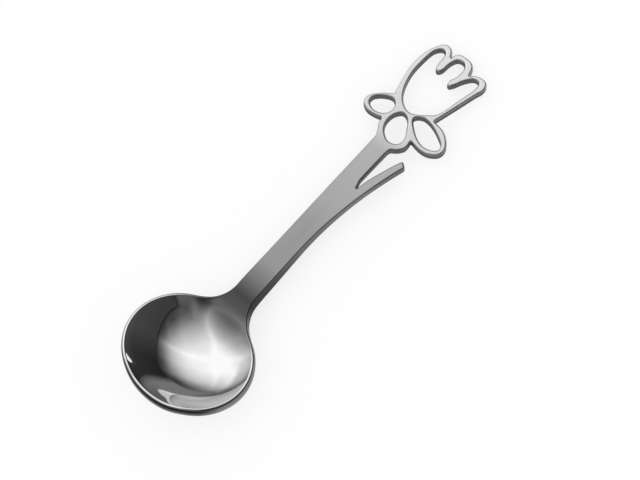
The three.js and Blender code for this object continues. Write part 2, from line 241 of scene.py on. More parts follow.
DIM_WAYS = [
    ((0.56, 0.73, -0.38), [(-1, 0), (-0.3, 0), (0.3, -0.03), (0.6, -0.03), (0.72, 0.14), (1, 0.14)]),
]

# Two soft streaks on the bright side: the way across each, its place, width and height. A broad and a thin
# dark line follow the edge: the width of each, its strength and how that changes along the edge.
STREAKS = [
    ((-0.84, -0.38, 0.385), 0.016, 0.06, 0.09),
    ((0.69, -0.53, 0.49), 0.008, 0.06, 0.1),
]
STREAK_RISE = 5
STREAK_SOFT = 0.2
BROAD_LINE = (0.058, 0.497, -0.185)
THIN_LINE = (0.01, 0.7, -1)
THIN_DEPTH = 0.8
DARKEST = 0.003
BRIGHTEST = 1.1

# White floor: half of its width in metres, its matt and its glowing white, and the share of the glow
FLOOR_HALF = 2
FLOOR_DROP = 0.1 * MM
FLOOR_MATT = 0.95
FLOOR_GLOW = 1.02
FLOOR_GLOW_SHARE = 0.7

# Tulip outline as shares of its length and half span, from the stem's right edge round to its left edge
CALYX_RIGHT = [(-0.01, -0.18), (0.022, -0.29), (0.066, -0.37), (0.11, -0.38), (0.148, -0.36)]
LEAF_RIGHT = [
    (0.148, -0.36), (0.132, -0.6), (0.143, -0.8), (0.192, -0.97), (0.258, -1),
    (0.325, -0.9), (0.382, -0.7), (0.402, -0.43),
]
LOBE_RIGHT = [
    (0.402, -0.43), (0.582, -0.55), (0.764, -0.665), (0.857, -0.73), (0.918, -0.68),
    (0.937, -0.55), (0.923, -0.39), (0.887, -0.3),
]
LOBE_MIDDLE = [
    (0.887, -0.3), (0.958, -0.24), (0.993, -0.14), (1, -0.02), (0.998, 0.12), (0.973, 0.225), (0.926, 0.25),
]
LOBE_LEFT = [
    (0.926, 0.25), (0.978, 0.34), (0.997, 0.46), (0.981, 0.57), (0.929, 0.66),
    (0.846, 0.74), (0.758, 0.77), (0.646, 0.76), (0.511, 0.685), (0.395, 0.605),
]
LEAF_LEFT = [
    (0.395, 0.605), (0.338, 0.8), (0.277, 0.94), (0.223, 0.99), (0.173, 0.93),
    (0.143, 0.77), (0.146, 0.59), (0.162, 0.44),
]
CALYX_LEFT = [(0.162, 0.44), (0.115, 0.41), (0.066, 0.335), (0.016, 0.275)]
FLOWER_RUNS = (CALYX_RIGHT, LEAF_RIGHT, LOBE_RIGHT, LOBE_MIDDLE, LOBE_LEFT, LEAF_LEFT, CALYX_LEFT)

# Openings as the same shares: the cup, the left leaf, the right leaf and the calyx
CUP_OPENING = [
    (0.341, 0.08), (0.371, 0.3), (0.456, 0.48), (0.61, 0.61), (0.769, 0.63), (0.89, 0.59),
    (0.937, 0.48), (0.915, 0.395), (0.815, 0.365), (0.768, 0.325), (0.757, 0.26), (0.785, 0.195),
    (0.879, 0.165), (0.937, 0.1), (0.948, -0.02), (0.915, -0.105), (0.82, -0.11), (0.763, -0.06),
    (0.72, -0.075), (0.712, -0.135), (0.742, -0.2), (0.824, -0.3), (0.885, -0.43), (0.887, -0.53),
    (0.843, -0.57), (0.659, -0.48), (0.467, -0.36), (0.412, -0.22),
]
LEFT_OPENING = [
    (0.181, 0.68), (0.214, 0.85), (0.264, 0.86), (0.316, 0.74),
    (0.349, 0.54), (0.321, 0.43), (0.258, 0.4), (0.203, 0.49),
]
RIGHT_OPENING = [
    (0.319, -0.08), (0.365, -0.2), (0.363, -0.41), (0.324, -0.66), (0.269, -0.86),
    (0.22, -0.87), (0.181, -0.68), (0.19, -0.48), (0.247, -0.24),
]
CALYX_OPENING = [
    (0.124, 0.26), (0.187, 0.3), (0.253, 0.27), (0.299, 0.17), (0.286, 0.04),
    (0.217, -0.1), (0.135, -0.21), (0.071, -0.19), (0.041, -0.02), (0.069, 0.14),
]
OPENINGS = (CUP_OPENING, LEFT_OPENING, RIGHT_OPENING, CALYX_OPENING)


def ease(start, end, value):
    """Smooth rise from nothing at start to one at end."""
    t = np.clip((np.asarray(value, float) - start) / (end - start), 0, 1)
    return t * t * (3 - 2 * t)


# Heights of the sheet and its thickness


def handle_top(x):
    """Height of the handle's face: a soft rise over the neck, then an arch that ends straight."""
    x = np.asarray(x, float)
    run = NECK_END - BOWL_X
    t = np.clip((x - BOWL_X) / run, 0, 1)
    low = NECK_RISE * t * t * (3 - 2 * t) + START_RISE * run * t * t * (t - 1)
    bent = np.minimum(x, STRAIGHT) - NECK_END
    bend = (END_RISE - START_RISE) / (2 * STRAIGHT_RUN)
    high = NECK_RISE + START_RISE * bent + bend * bent * bent + END_RISE * np.maximum(x - STRAIGHT, 0)
    return np.where(x < NECK_END, low, high)


def handle_slope(x):
    x = np.asarray(x)
    return (handle_top(x + SLOPE_REACH) - handle_top(x - SLOPE_REACH)) / (2 * SLOPE_REACH)


def bowl_top(x, y):
    """Height of the bowl's face, level at the rim and steep beyond it."""
    share = np.hypot(x / BOWL_X, y / BOWL_Y)
    edge = math.sqrt(1 - RIM_EDGE_SHARE ** 2)
    steep = BOWL_DEPTH * RIM_EDGE_SHARE ** 2 / (edge * (1 - edge))
    level = np.sqrt(1 - (RIM_EDGE_SHARE * np.minimum(share, 1)) ** 2)
    return np.where(share > 1, steep * (share - 1), -BOWL_DEPTH * (level - edge) / (1 - edge))


def sheet_top(x, y):
    """Upper face: the lower one of bowl and handle, with the brow where they meet softened."""
    across = np.abs(y) / BOWL_Y
    soft = BROW * (1 - ease(*BROW_FADE_SHARES, across)) + SHARP
    bowl = bowl_top(x, y)
    handle = handle_top(x) + BOWL_DEPTH * ease(*SHOULDER_SHARES, across)
    near = np.maximum(soft - np.abs(bowl - handle), 0) / soft
    return np.minimum(bowl, handle) - near ** 3 * soft / 6


def strip_thickness(x):
    return PLATE + NECK_EXTRA * (1 - ease(NECK_START, FORK, x))


def under(top, ways, share):
    """Outer face below points of the upper face; ways point outwards and share runs from middle to rim."""
    x = top[:, 0]
    neck = ease(NECK_START - THICK_RUN, NECK_START, x)
    wall = BOWL_WALL + (RIM_HEIGHT - BOWL_WALL) * share ** 2
    foot = top.copy()
    foot[:, :2] += ways * (RIM_LAND * (1 - neck) * share ** 3)[:, None]
    foot[:, 2] -= wall + (strip_thickness(x) * np.hypot(1, handle_slope(x)) - wall) * neck
    return foot


# Edges of the handle seen from above


def neck_fillet():
    """Curve from the bowl's rim into the neck's side, as points along a cubic with four poles."""
    start = np.array([BOWL_X * FILLET_START_SHARE, BOWL_Y * math.sqrt(1 - FILLET_START_SHARE ** 2)])
    lean = np.array([start[1] * BOWL_X ** 2, -start[0] * BOWL_Y ** 2])
    lean /= np.hypot(*lean)
    end = np.array([FILLET_END, NECK_HALF])
    poles = (start, start + FILLET_BOWL_PULL * lean, end - [FILLET_NECK_PULL, 0], end)
    t = np.linspace(0, 1, BEZIER_STEPS + 1)[:, None]
    return sum(math.comb(3, k) * (1 - t) ** (3 - k) * t ** k * pole for k, pole in enumerate(poles))


fillet = neck_fillet()


def neck_half(x):
    """Half width from the bowl's shoulder over the neck to the handle."""
    x = np.asarray(x, float)
    after = NECK_HALF + (HANDLE_HALF - NECK_HALF) * ease(FILLET_END, WAIST, x)
    return np.where(x > FILLET_END, after, np.interp(x, fillet[:, 0], fillet[:, 1]))


def left_edge(x):
    return neck_half(x) + STEM_SHIFT * (np.maximum(x - WAIST, 0) / (STEM_END - WAIST)) ** STEM_BEND


def right_edge(x):
    return -neck_half(x) - BLADE_DROP * (np.maximum(x - WAIST, 0) / (BLADE_TIP - WAIST)) ** BLADE_FLARE


def stem_right(x):
    return -STEM_HALF - FORK_INSET * (1 - ease(FORK, FORK + FORK_EASE, x))


def blade_inner(x):
    run = np.maximum(x - FORK, 0) / (BLADE_TIP - FORK)
    return stem_right(FORK) - FORK_SLOT - BLADE_INSET * run ** SLOT_FLARE


def flared(points):
    """Points of the outer face, spread sideways where the neck's back is wider than its front."""
    x = points[:, 0]
    grow = NECK_FLARE * ease(NECK_START - FLARE_RUN, NECK_START - FLARE_RUN / 2, x)
    out = points.copy()
    out[:, 1] *= 1 + grow * (1 - ease(NECK_START, FORK, x)) / neck_half(np.maximum(x, fillet[0, 0]))
    return out


# Bowl patch: rings of points round the bowl's middle, up to the join

join_half = float(neck_half(JOIN_X))
chord_y = np.linspace(-(join_half - EDGE), join_half - EDGE, CHORD_POINTS + 2)[1:-1]


def run_lengths(line):
    """Length of a line up to each of its points."""
    return np.concatenate([[0], np.cumsum(np.hypot(*np.diff(line, axis=0).T))])


def picked(line, places, steps):
    """Points of a line at given places along it."""
    return np.stack([np.interp(places, steps, line[:, 0]), np.interp(places, steps, line[:, 1])], 1)


def rim_columns():
    """Rim line from the left end of the join round the lip to its right end."""
    run = fillet[fillet[:, 0] < JOIN_X][::-1]
    steps = run_lengths(run)
    curve = picked(run, np.linspace(0, steps[-1], NECK_COLUMNS + 1)[1:], steps)
    angle = np.linspace(math.acos(FILLET_START_SHARE), math.pi, RIM_COLUMNS + 1)[1:]
    oval = np.stack([BOWL_X * np.cos(angle), BOWL_Y * np.sin(angle)], 1)
    half = np.concatenate([[[JOIN_X, join_half]], curve, oval])
    return np.concatenate([half, (half * [1, -1])[-2::-1]])


def rim_rows(rim, ways, neck):
    """Rows of the bowl's rounded edge, from the upper face over the side to the outer face."""
    top = np.column_stack([rim, sheet_top(rim[:, 0], rim[:, 1])])
    foot = under(top, ways, 1)
    top[:, :2] += ways * RIM_LAND * (1 - neck)
    down = (foot - top) / np.linalg.norm(foot - top, axis=1, keepdims=True)
    along = np.empty_like(top)
    along[1:-1] = top[2:] - top[:-2]
    along[0] = top[1] - top[0]
    along[-1] = top[-1] - top[-2]
    out = np.cross(down, along)
    out /= np.linalg.norm(out, axis=1, keepdims=True)
    out[0] = (0, 1, 0)
    out[-1] = (0, -1, 0)
    down[0] = down[-1] = (0, 0, -1)
    reach = RIM_ROUND + (EDGE - RIM_ROUND) * neck
    fall = RIM_FALL + (EDGE - RIM_FALL) * neck
    rows = []
    for turn in TURNS:
        rows.append(top + down * fall * (1 - math.cos(turn)) + out * reach * (math.sin(turn) - 1))
    for turn in TURNS[::-1]:
        row = foot - down * EDGE * (1 - math.cos(turn)) + out * EDGE * (math.sin(turn) - 1)
        rows.append(flared(row))
    return rows


def dish_faces(centre, start, wide, flip):
    """Faces of one side of the bowl, from its centre point over rings of points to the last ring."""
    faces = [[centre, start + k, start + (k + 1) % wide] for k in range(wide)]
    for a in range(start, start + (BOWL_ROWS - 1) * wide, wide):
        for k in range(wide):
            n = (k + 1) % wide
            faces.append([a + k, a + wide + k, a + wide + n, a + n])
    return [face[::-1] for face in faces] if flip else faces


def bowl_patch():
    """Bowl with its brow up to the join: points, faces and how upright the edge is at each point."""
    rim = rim_columns()
    count = len(rim)
    ahead = np.gradient(rim, axis=0)
    ways = np.column_stack([ahead[:, 1], -ahead[:, 0]]) / np.hypot(*ahead.T)[:, None]
    ways[0] = (0, 1)
    ways[-1] = (0, -1)
    neck = ease(NECK_START - THICK_RUN, NECK_START, rim[:, 0])[:, None]
    edge_rows = rim_rows(rim, ways, neck)
    chord = np.column_stack([np.full(CHORD_POINTS, JOIN_X), chord_y])
    chord_top = np.column_stack([chord, sheet_top(chord[:, 0], chord[:, 1])])
    ways = np.concatenate([ways, np.zeros_like(chord)])
    edge = np.concatenate([edge_rows[0][:, :2], chord])
    level = np.concatenate([edge_rows[0][:, :2] * neck + rim * (1 - neck), chord])
    full = math.asin(RIM_EDGE_SHARE)
    rows_in, rows_out = [], []
    for share in np.sin(full * np.arange(1, BOWL_ROWS) / BOWL_ROWS) / RIM_EDGE_SHARE:
        face = np.column_stack([edge * share, sheet_top(level[:, 0] * share, level[:, 1] * share)])
        rows_in.append(face)
        rows_out.append(flared(under(face, ways, share)))
    rows_in.append(np.concatenate([edge_rows[0], chord_top]))
    rows_out.append(np.concatenate([edge_rows[-1], flared(under(chord_top, ways[count:], 1))]))
    centre = np.array([[0, 0, float(sheet_top(0.0, 0.0))]])
    points = [centre, under(centre, ways[:1], 0)] + rows_in + rows_out + edge_rows[1:-1]
    wide = count + CHORD_POINTS
    outer_start = 2 + BOWL_ROWS * wide
    side_start = outer_start + BOWL_ROWS * wide
    faces = dish_faces(0, 2, wide, False) + dish_faces(1, outer_start, wide, True)
    side_rows = range(side_start, side_start + (len(edge_rows) - 2) * count, count)
    band = [outer_start - wide, *side_rows, side_start - wide]
    for a, b in zip(band[:-1], band[1:]):
        faces += [[a + k, b + k, b + k + 1, a + k + 1] for k in range(count - 1)]
    walls = [np.zeros(side_start)]
    for turns, growth in ((TURNS[1:], LIP_WALL), (TURNS[:0:-1], FOOT_WALL)):
        for turn in turns:
            bowl_wall = np.interp(math.degrees(turn), WALL_TURNS, growth)
            walls.append(bowl_wall + (math.sin(turn) - bowl_wall) * neck[:, 0])
    return np.concatenate(points), faces, np.concatenate(walls)


# Outlines of the handle, the leaf and the tulip


def spline_span(p1, p2, v1, v2):
    """Points after p1 up to p2 on the cubic that leaves p1 with pull v1 and reaches p2 with pull v2."""
    cube = 2 * p1 - 2 * p2 + v1 + v2
    square = -3 * p1 + 3 * p2 - 2 * v1 - v2
    steps = np.arange(1, SPLINE_STEPS + 1) / SPLINE_STEPS
    return [cube * t ** 3 + square * t * t + v1 * t + p1 for t in steps]


def spline(points):
    """Smooth open run through points."""
    p = np.array(points, float)
    out = [p[0]]
    last = len(p) - 1
    for k in range(last):
        p0, p1, p2, p3 = p[max(k - 1, 0)], p[k], p[k + 1], p[min(k + 2, last)]
        out += spline_span(p1, p2, (p2 - p0) / 2, (p3 - p1) / 2)
    return np.array(out)


def closed_spline(points):
    """Smooth closed run, with spans weighted by the root of their length."""
    p = np.array(points, float)
    n = len(p)
    out = []
    for k in range(n):
        p0, p1, p2, p3 = p[k - 1], p[k], p[(k + 1) % n], p[(k + 2) % n]
        d0, d1, d2 = [math.sqrt(np.hypot(*(b - a))) for a, b in ((p0, p1), (p1, p2), (p2, p3))]
        v1 = ((p1 - p0) / d0 - (p2 - p0) / (d0 + d1) + (p2 - p1) / d1) * d1
        v2 = ((p2 - p1) / d1 - (p3 - p1) / (d1 + d2) + (p3 - p2) / d2) * d1
        out += spline_span(p1, p2, v1, v2)
    return np.array(out)


def respaced(line, closed=False):
    """The same line with points OUTLINE_STEP apart."""
    if closed:
        line = np.concatenate([line, line[:1]])
    steps = run_lengths(line)
    count = int(round(steps[-1] / OUTLINE_STEP))
    out = picked(line, np.linspace(0, steps[-1], count + 1), steps)
    return out[:-1] if closed else out


def tulip_place(shares):
    """Places in millimetres from shares of the tulip's length and half span."""
    return np.array(shares) * [TULIP_LENGTH, TULIP_SPAN] + [TULIP_X, 0]


def rounded_corner(before, corner, after):
    """Points round a corner, from TIP_ROUND before it to TIP_ROUND after it."""
    a = corner + (before - corner) / np.hypot(*(before - corner)) * TIP_ROUND
    b = corner + (after - corner) / np.hypot(*(after - corner)) * TIP_ROUND
    t = np.linspace(0, 1, CORNER_STEPS + 1)[:, None]
    return (1 - t) ** 2 * a + 2 * t * (1 - t) * corner + t ** 2 * b


def side_outline():
    """Edge of the handle and tulip from the right end of the join round the tip to its left end."""
    right_x = np.linspace(JOIN_X, BLADE_TIP, EDGE_POINTS)
    right = np.column_stack([right_x, right_edge(right_x)])
    inner_x = np.linspace(BLADE_TIP, FORK, BLADE_POINTS)
    inner_share = (inner_x - FORK + OVERRUN) / (BLADE_TIP - FORK + OVERRUN)
    skewed_x = inner_x + BLADE_SKEW * ease(*TIP_SKEW_SHARES, inner_share)
    inner = np.column_stack([skewed_x, blade_inner(inner_x)])
    tip = np.concatenate([
        rounded_corner(right[-TIP_AIM[0]], right[-1], inner[0]),
        rounded_corner(right[-1], inner[0], inner[TIP_AIM[1]]),
    ])
    crotch = np.array(CROTCH) + [FORK, 0]
    stem_x = np.linspace(FORK, STEM_END - OVERRUN, STEM_POINTS)
    stem = np.column_stack([stem_x, stem_right(stem_x)])
    runs = [right[:-TIP_SKIP[0]], tip, inner[TIP_SKIP[1]:], crotch, stem]
    runs += [spline(tulip_place(shares)) for shares in FLOWER_RUNS]
    left_x = np.linspace(STEM_END - OVERRUN, JOIN_X, EDGE_POINTS)
    runs.append(np.column_stack([left_x, left_edge(left_x)]))
    return respaced(np.concatenate(runs))


def clockwise(loop):
    """The loop, turned round where it runs the other way."""
    turn = ((loop * np.roll(loop, -1, 0)[:, ::-1]) @ [1, -1]).sum()
    return loop if turn < 0 else loop[::-1]


def closed_normals(loop):
    """Normals that point to the left of the way the line runs."""
    ahead = np.roll(loop, -1, 0) - loop
    ahead /= np.hypot(*ahead.T)[:, None]
    way = ahead + np.roll(ahead, 1, 0)
    way /= np.maximum(np.hypot(*way.T), TINY)[:, None]
    return np.stack([-way[:, 1], way[:, 0]], 1)


def inside(points, loops):
    """Which points lie within the first loop and outside the holes."""
    result = np.zeros(len(points), bool)
    for loop in loops:
        for (x0, y0), (x1, y1) in zip(loop, np.roll(loop, -1, 0)):
            if y0 == y1:
                continue
            hit = (points[:, 1] > min(y0, y1)) & (points[:, 1] <= max(y0, y1))
            cross = x0 + (points[:, 1] - y0) * (x1 - x0) / (y1 - y0)
            result ^= hit & (points[:, 0] < cross)
    return result


def edge_distance(points, starts, ends):
    """Distance to the nearest edge and the unit way from that edge to the point."""
    near = np.empty(len(points))
    way = np.empty((len(points), 2))
    span = ends - starts
    length = (span ** 2).sum(1)
    for at in range(0, len(points), CHUNK):
        p = points[at:at + CHUNK, None, :]
        t = np.clip(((p - starts) * span).sum(2) / length, 0, 1)
        gap = p - (starts + t[:, :, None] * span)
        dist = np.hypot(gap[:, :, 0], gap[:, :, 1])
        best = dist.argmin(1)
        rows = np.arange(len(best))
        near[at:at + CHUNK] = dist[rows, best]
        way[at:at + CHUNK] = gap[rows, best] / np.maximum(dist[rows, best], LEAST_GAP)[:, None]
    return near, way


# Strip patch: a flat sheet of triangles from the join on, lifted to the handle's course


def edge_radius(x):
    """Radius of the rounded edge along the strip."""
    handle = EDGE + (HANDLE_EDGE - EDGE) * ease(JOIN_X, JOIN_X + HANDLE_EDGE_RUN, x)
    before, after = FLOWER_EDGE_RUN
    return handle + (FLOWER_EDGE - HANDLE_EDGE) * ease(FORK + before, FORK + after, x)


def free_points(loops, rims, rim_ways, starts, ends):
    """Points within the outline: rows that follow each rounded edge, and a grid on the flat."""
    points = []
    for turn in TURNS[-2::-1]:
        gap = edge_radius(rims[:, 0]) * (1 - math.sin(turn))
        ring = rims + rim_ways * gap[:, None]
        near, _ = edge_distance(ring, starts, ends)
        clear = near > gap * RING_SHARE - RING_SLACK
        points.append(ring[clear & (ring[:, 0] > JOIN_X + JOIN_CLEAR[0])])
    low, high = loops[0].min(0), loops[0].max(0)
    xs = np.arange(JOIN_X + JOIN_CLEAR[1], high[0], GRID_STEP)
    ys = np.arange(low[1], high[1], GRID_STEP * GRID_SQUEEZE)
    shift = GRID_STEP * GRID_SQUEEZE / 2
    grid = np.array([(x, y + (i % 2) * shift) for i, x in enumerate(xs) for y in ys])
    grid = grid[inside(grid, loops)]
    near, _ = edge_distance(grid, starts, ends)
    points.append(grid[near > edge_radius(grid[:, 0]) + GRID_CLEAR])
    points = np.concatenate(points)
    return points[inside(points, loops)]


def triangulated(loops, free):
    """Triangles within the loops: their corners, the triangles, and the corner at each given point."""
    points = np.concatenate(loops + [free])
    edges = []
    at = 0
    for run in loops:
        n = len(run)
        edges += [(at + k, at + (k + 1) % n) for k in range(n)]
        at += n
    corners, _, triangles, origin, _, _ = delaunay_2d_cdt([Vector(p) for p in points], edges, [], 0, TINY)
    flat = np.array([v[:] for v in corners])
    triangles = np.array(triangles)
    triangles = triangles[inside(flat[triangles].mean(1), loops)]
    place = np.full(len(points), -1)
    for k, source in enumerate(origin):
        for s in source:
            place[s] = k
    return flat, triangles, place


def lifted(flat, near, way):
    """Both faces over flat points near an edge: points, normals and how upright the edge is there."""
    radius = edge_radius(flat[:, 0])
    rest = np.maximum(radius - near, 0)
    drop = radius - np.sqrt(np.maximum(radius ** 2 - rest ** 2, 0))
    slope = handle_slope(flat[:, 0])
    level = handle_top(flat[:, 0])
    thickness = strip_thickness(flat[:, 0]) * np.hypot(1, slope)
    top = np.column_stack([flat, level - drop])
    foot = flared(np.column_stack([flat, level - thickness + drop]))
    up = np.column_stack([-slope, np.zeros_like(slope), np.ones_like(slope)])
    up /= np.linalg.norm(up, axis=1, keepdims=True)
    sine = rest / radius
    up *= np.sqrt(np.maximum(1 - sine ** 2, 0))[:, None]
    out = np.column_stack([-way, np.zeros(len(way))]) * sine[:, None]
    return np.concatenate([top, foot]), np.concatenate([up + out, out - up]), np.concatenate([sine, sine])


def strip_patch():
    """Handle, leaf and tulip: points, faces, normals and how upright the edge is at each point."""
    outer = side_outline()
    rim_count = len(outer)
    holes = [clockwise(respaced(closed_spline(tulip_place(shares)), True)) for shares in OPENINGS]
    section = join_half - EDGE * (1 - np.sin(TURNS))
    chord = np.concatenate([section[::-1][1:], chord_y[::-1], -section[:-1]])
    loops = [np.concatenate([outer, np.column_stack([np.full(len(chord), JOIN_X), chord])])] + holes
    rim_way = closed_normals(np.concatenate([outer, outer[-1:] - [1, 0], outer[:1] - [1, 0]]))[:rim_count]
    rim_way[0] = (0, 1)
    rim_way[-1] = (0, -1)
    hole_ways = [closed_normals(hole) for hole in holes]
    starts = np.concatenate([outer[:-1]] + holes)
    ends = np.concatenate([outer[1:]] + [np.roll(hole, -1, 0) for hole in holes])
    rims = np.concatenate([outer] + holes)
    free = free_points(loops, rims, np.concatenate([rim_way] + hole_ways), starts, ends)
    flat, triangles, place = triangulated(loops, free)
    near, way = edge_distance(flat, starts, ends)
    for k in [place[0], place[rim_count - 1], *place[rim_count:len(loops[0])]]:
        near[k] = join_half - abs(flat[k, 1])
        way[k] = (0, -np.sign(flat[k, 1]))
    count = len(flat)
    faces = [list(t) for t in triangles] + [[t[0] + count, t[2] + count, t[1] + count] for t in triangles]
    at = 0
    for run, ways in zip(loops, [rim_way] + hole_ways):
        n = len(run)
        for k, inward in enumerate(ways):
            way[place[at + k]] = inward
            near[place[at + k]] = 0
        for k in range(rim_count - 1 if at == 0 else n):
            a, b = place[at + k], place[at + (k + 1) % n]
            faces.append([a, a + count, b + count, b])
        at += n
    points, normals, walls = lifted(flat, near, way)
    return points, faces, normals, walls


# The ladle as one mesh, laid down


def turned(ways):
    """Ways beside the level ladle as they point beside the laid ladle."""
    cos, sin = math.cos(REST_TILT), math.sin(REST_TILT)
    x = ways[:, 0] * cos + ways[:, 2] * sin
    z = ways[:, 2] * cos - ways[:, 0] * sin
    return np.column_stack([x, ways[:, 1], z])


def laid_down(points):
    return (turned(points) + [REST_SHIFT, 0, REST_LIFT]) * MM


def joined(mesh):
    """Welds the two patches at the join, and gives the patch point that each vertex was made from."""
    bm = bmesh.new()
    bm.from_mesh(mesh)
    kept = bm.verts.layers.int.new("source")
    bm.verts.ensure_lookup_table()
    for k, vert in enumerate(bm.verts):
        vert[kept] = k
    seam_x = laid_down(np.array([[JOIN_X, 0, float(handle_top(JOIN_X))]]))[0, 0]
    seam = [v for v in bm.verts if abs(v.co.x - seam_x) < SEAM_REACH]
    bmesh.ops.remove_doubles(bm, verts=seam, dist=SEAM_GAP)
    bmesh.ops.recalc_face_normals(bm, faces=bm.faces)
    bm.to_mesh(mesh)
    bm.free()
    source = np.zeros(len(mesh.vertices), np.int32)
    mesh.attributes["source"].data.foreach_get("value", source)
    mesh.attributes.remove(mesh.attributes["source"])
    return source


def ladle_mesh():
    bowl_points, bowl_faces, bowl_walls = bowl_patch()
    strip_points, strip_faces, strip_normals, strip_walls = strip_patch()
    bowl_count = len(bowl_points)
    points = laid_down(np.concatenate([bowl_points, strip_points]))
    faces = bowl_faces + [[k + bowl_count for k in face] for face in strip_faces]
    mesh = bpy.data.meshes.new("ladle")
    mesh.from_pydata(points.tolist(), [], faces)
    mesh.update()
    source = joined(mesh)
    for polygon in mesh.polygons:
        polygon.use_smooth = True
    smooth = np.zeros(len(mesh.vertices) * 3, np.float32)
    mesh.vertices.foreach_get("normal", smooth)
    smooth = smooth.reshape(-1, 3).astype(float)
    on_strip = source >= bowl_count
    smooth[on_strip] = turned(strip_normals)[source[on_strip] - bowl_count]
    smooth /= np.linalg.norm(smooth, axis=1, keepdims=True)
    mesh.normals_split_custom_set_from_vertices([tuple(n) for n in smooth])
    walls = np.concatenate([bowl_walls, strip_walls])[source]
    mesh.attributes.new("wall", "FLOAT", "POINT").data.foreach_set("value", walls.astype(np.float32))
    return mesh


def added(name, data):
    piece = bpy.data.objects.new(name, data)
    bpy.context.scene.collection.objects.link(piece)
    return piece


# Nodes that materials and the world share


def feed(tree, socket, value):
    """Links another node's output to a socket, or sets a constant there."""
    if isinstance(value, bpy.types.NodeSocket):
        tree.links.new(value, socket)
    else:
        socket.default_value = value


def value_node(tree, kind, operation, *inputs, clamp=False):
    """Adds a math node; inputs are numbers, vectors or the outputs of other nodes."""
    node = tree.nodes.new(kind)
    node.operation = operation
    if clamp:
        node.use_clamp = True
    for socket, value in zip(node.inputs, inputs):
        feed(tree, socket, value)
    return node.outputs["Value"]


def maths(tree, operation, *inputs, clamp=False):
    return value_node(tree, "ShaderNodeMath", operation, *inputs, clamp=clamp)


def times(tree, one, other):
    return maths(tree, "MULTIPLY", one, other)


def along_way(tree, place, way):
    """How far a place or direction lies along a way."""
    return value_node(tree, "ShaderNodeVectorMath", "DOT_PRODUCT", place, way)


def blend(tree, share, low, high):
    """The level low where share is nothing, and high where it is one."""
    return maths(tree, "MULTIPLY_ADD", share, maths(tree, "SUBTRACT", high, low), low)


def soft_step(tree, value, width):
    """Rises from nothing to one round zero."""
    return maths(tree, "MULTIPLY_ADD", maths(tree, "TANH", maths(tree, "DIVIDE", value, width)), 0.5, 0.5)


def bell(tree, value, width):
    """Soft hump, one at zero and nothing a few widths away."""
    share = maths(tree, "DIVIDE", value, width)
    return maths(tree, "EXPONENT", times(tree, times(tree, share, share), -1))


def ramp(tree, value, stops):
    """Curve through stops of value and result, in straight steps."""
    low, high = stops[0][0], stops[-1][0]
    results = [result for _, result in stops]
    base, span = min(results), max(results) - min(results)
    node = tree.nodes.new("ShaderNodeValToRGB")
    elements = node.color_ramp.elements
    for k, (at, result) in enumerate(stops):
        share = (at - low) / (high - low)
        element = elements[k] if k < 2 else elements.new(share)
        element.position = share
        shade = (result - base) / span
        element.color = (shade, shade, shade, 1)
    spot = maths(tree, "DIVIDE", maths(tree, "SUBTRACT", value, low), high - low)
    tree.links.new(spot, node.inputs[0])
    return maths(tree, "MULTIPLY_ADD", node.outputs[0], span, base)


def noise(tree, place, stretch, scale, detail):
    mapping = tree.nodes.new("ShaderNodeMapping")
    mapping.inputs["Scale"].default_value = stretch
    tree.links.new(place, mapping.inputs["Vector"])
    node = tree.nodes.new("ShaderNodeTexNoise")
    node.inputs["Scale"].default_value = scale
    node.inputs["Detail"].default_value = detail
    tree.links.new(mapping.outputs[0], node.inputs["Vector"])
    return node.outputs["Fac"]


def seen_rays(tree):
    """One for the rays by which the camera, metal and glass show what lies around the ladle."""
    paths = tree.nodes.new("ShaderNodeLightPath").outputs
    shown = maths(tree, "MAXIMUM", paths["Is Camera Ray"], paths["Is Glossy Ray"])
    return maths(tree, "MAXIMUM", shown, paths["Is Transmission Ray"])


def mixed(tree, share, first, second):
    """Mix of two shaders by the share of the second one."""
    node = tree.nodes.new("ShaderNodeMixShader")
    feed(tree, node.inputs[0], share)
    tree.links.new(first.outputs[0], node.inputs[1])
    tree.links.new(second.outputs[0], node.inputs[2])
    return node.outputs[0]


def combined(tree, *channels):
    node = tree.nodes.new("ShaderNodeCombineColor")
    for socket, channel in zip(node.inputs, channels):
        tree.links.new(channel, socket)
    return node.outputs[0]


# Steel with a mirror-polished bowl and a brushed handle, with painted shade darkest at the neck, on the front
# wall inside the bowl and on upright edges


def bowl_painted_shade(tree, along, across):
    """One where painted shade greys the front wall inside the bowl."""
    share_x = maths(tree, "POWER", maths(tree, "DIVIDE", along, BOWL_X), 2)
    share_y = maths(tree, "POWER", maths(tree, "DIVIDE", across, BOWL_Y), 2)
    radius = maths(tree, "SQRT", maths(tree, "ADD", share_x, share_y))
    front = maths(tree, "MULTIPLY_ADD", along, FRONT_WAY[0], times(tree, across, FRONT_WAY[1]))
    return times(tree, ramp(tree, radius, FRONT_SHADE_RADIUS_STOPS), ramp(tree, front, FRONT_STOPS))


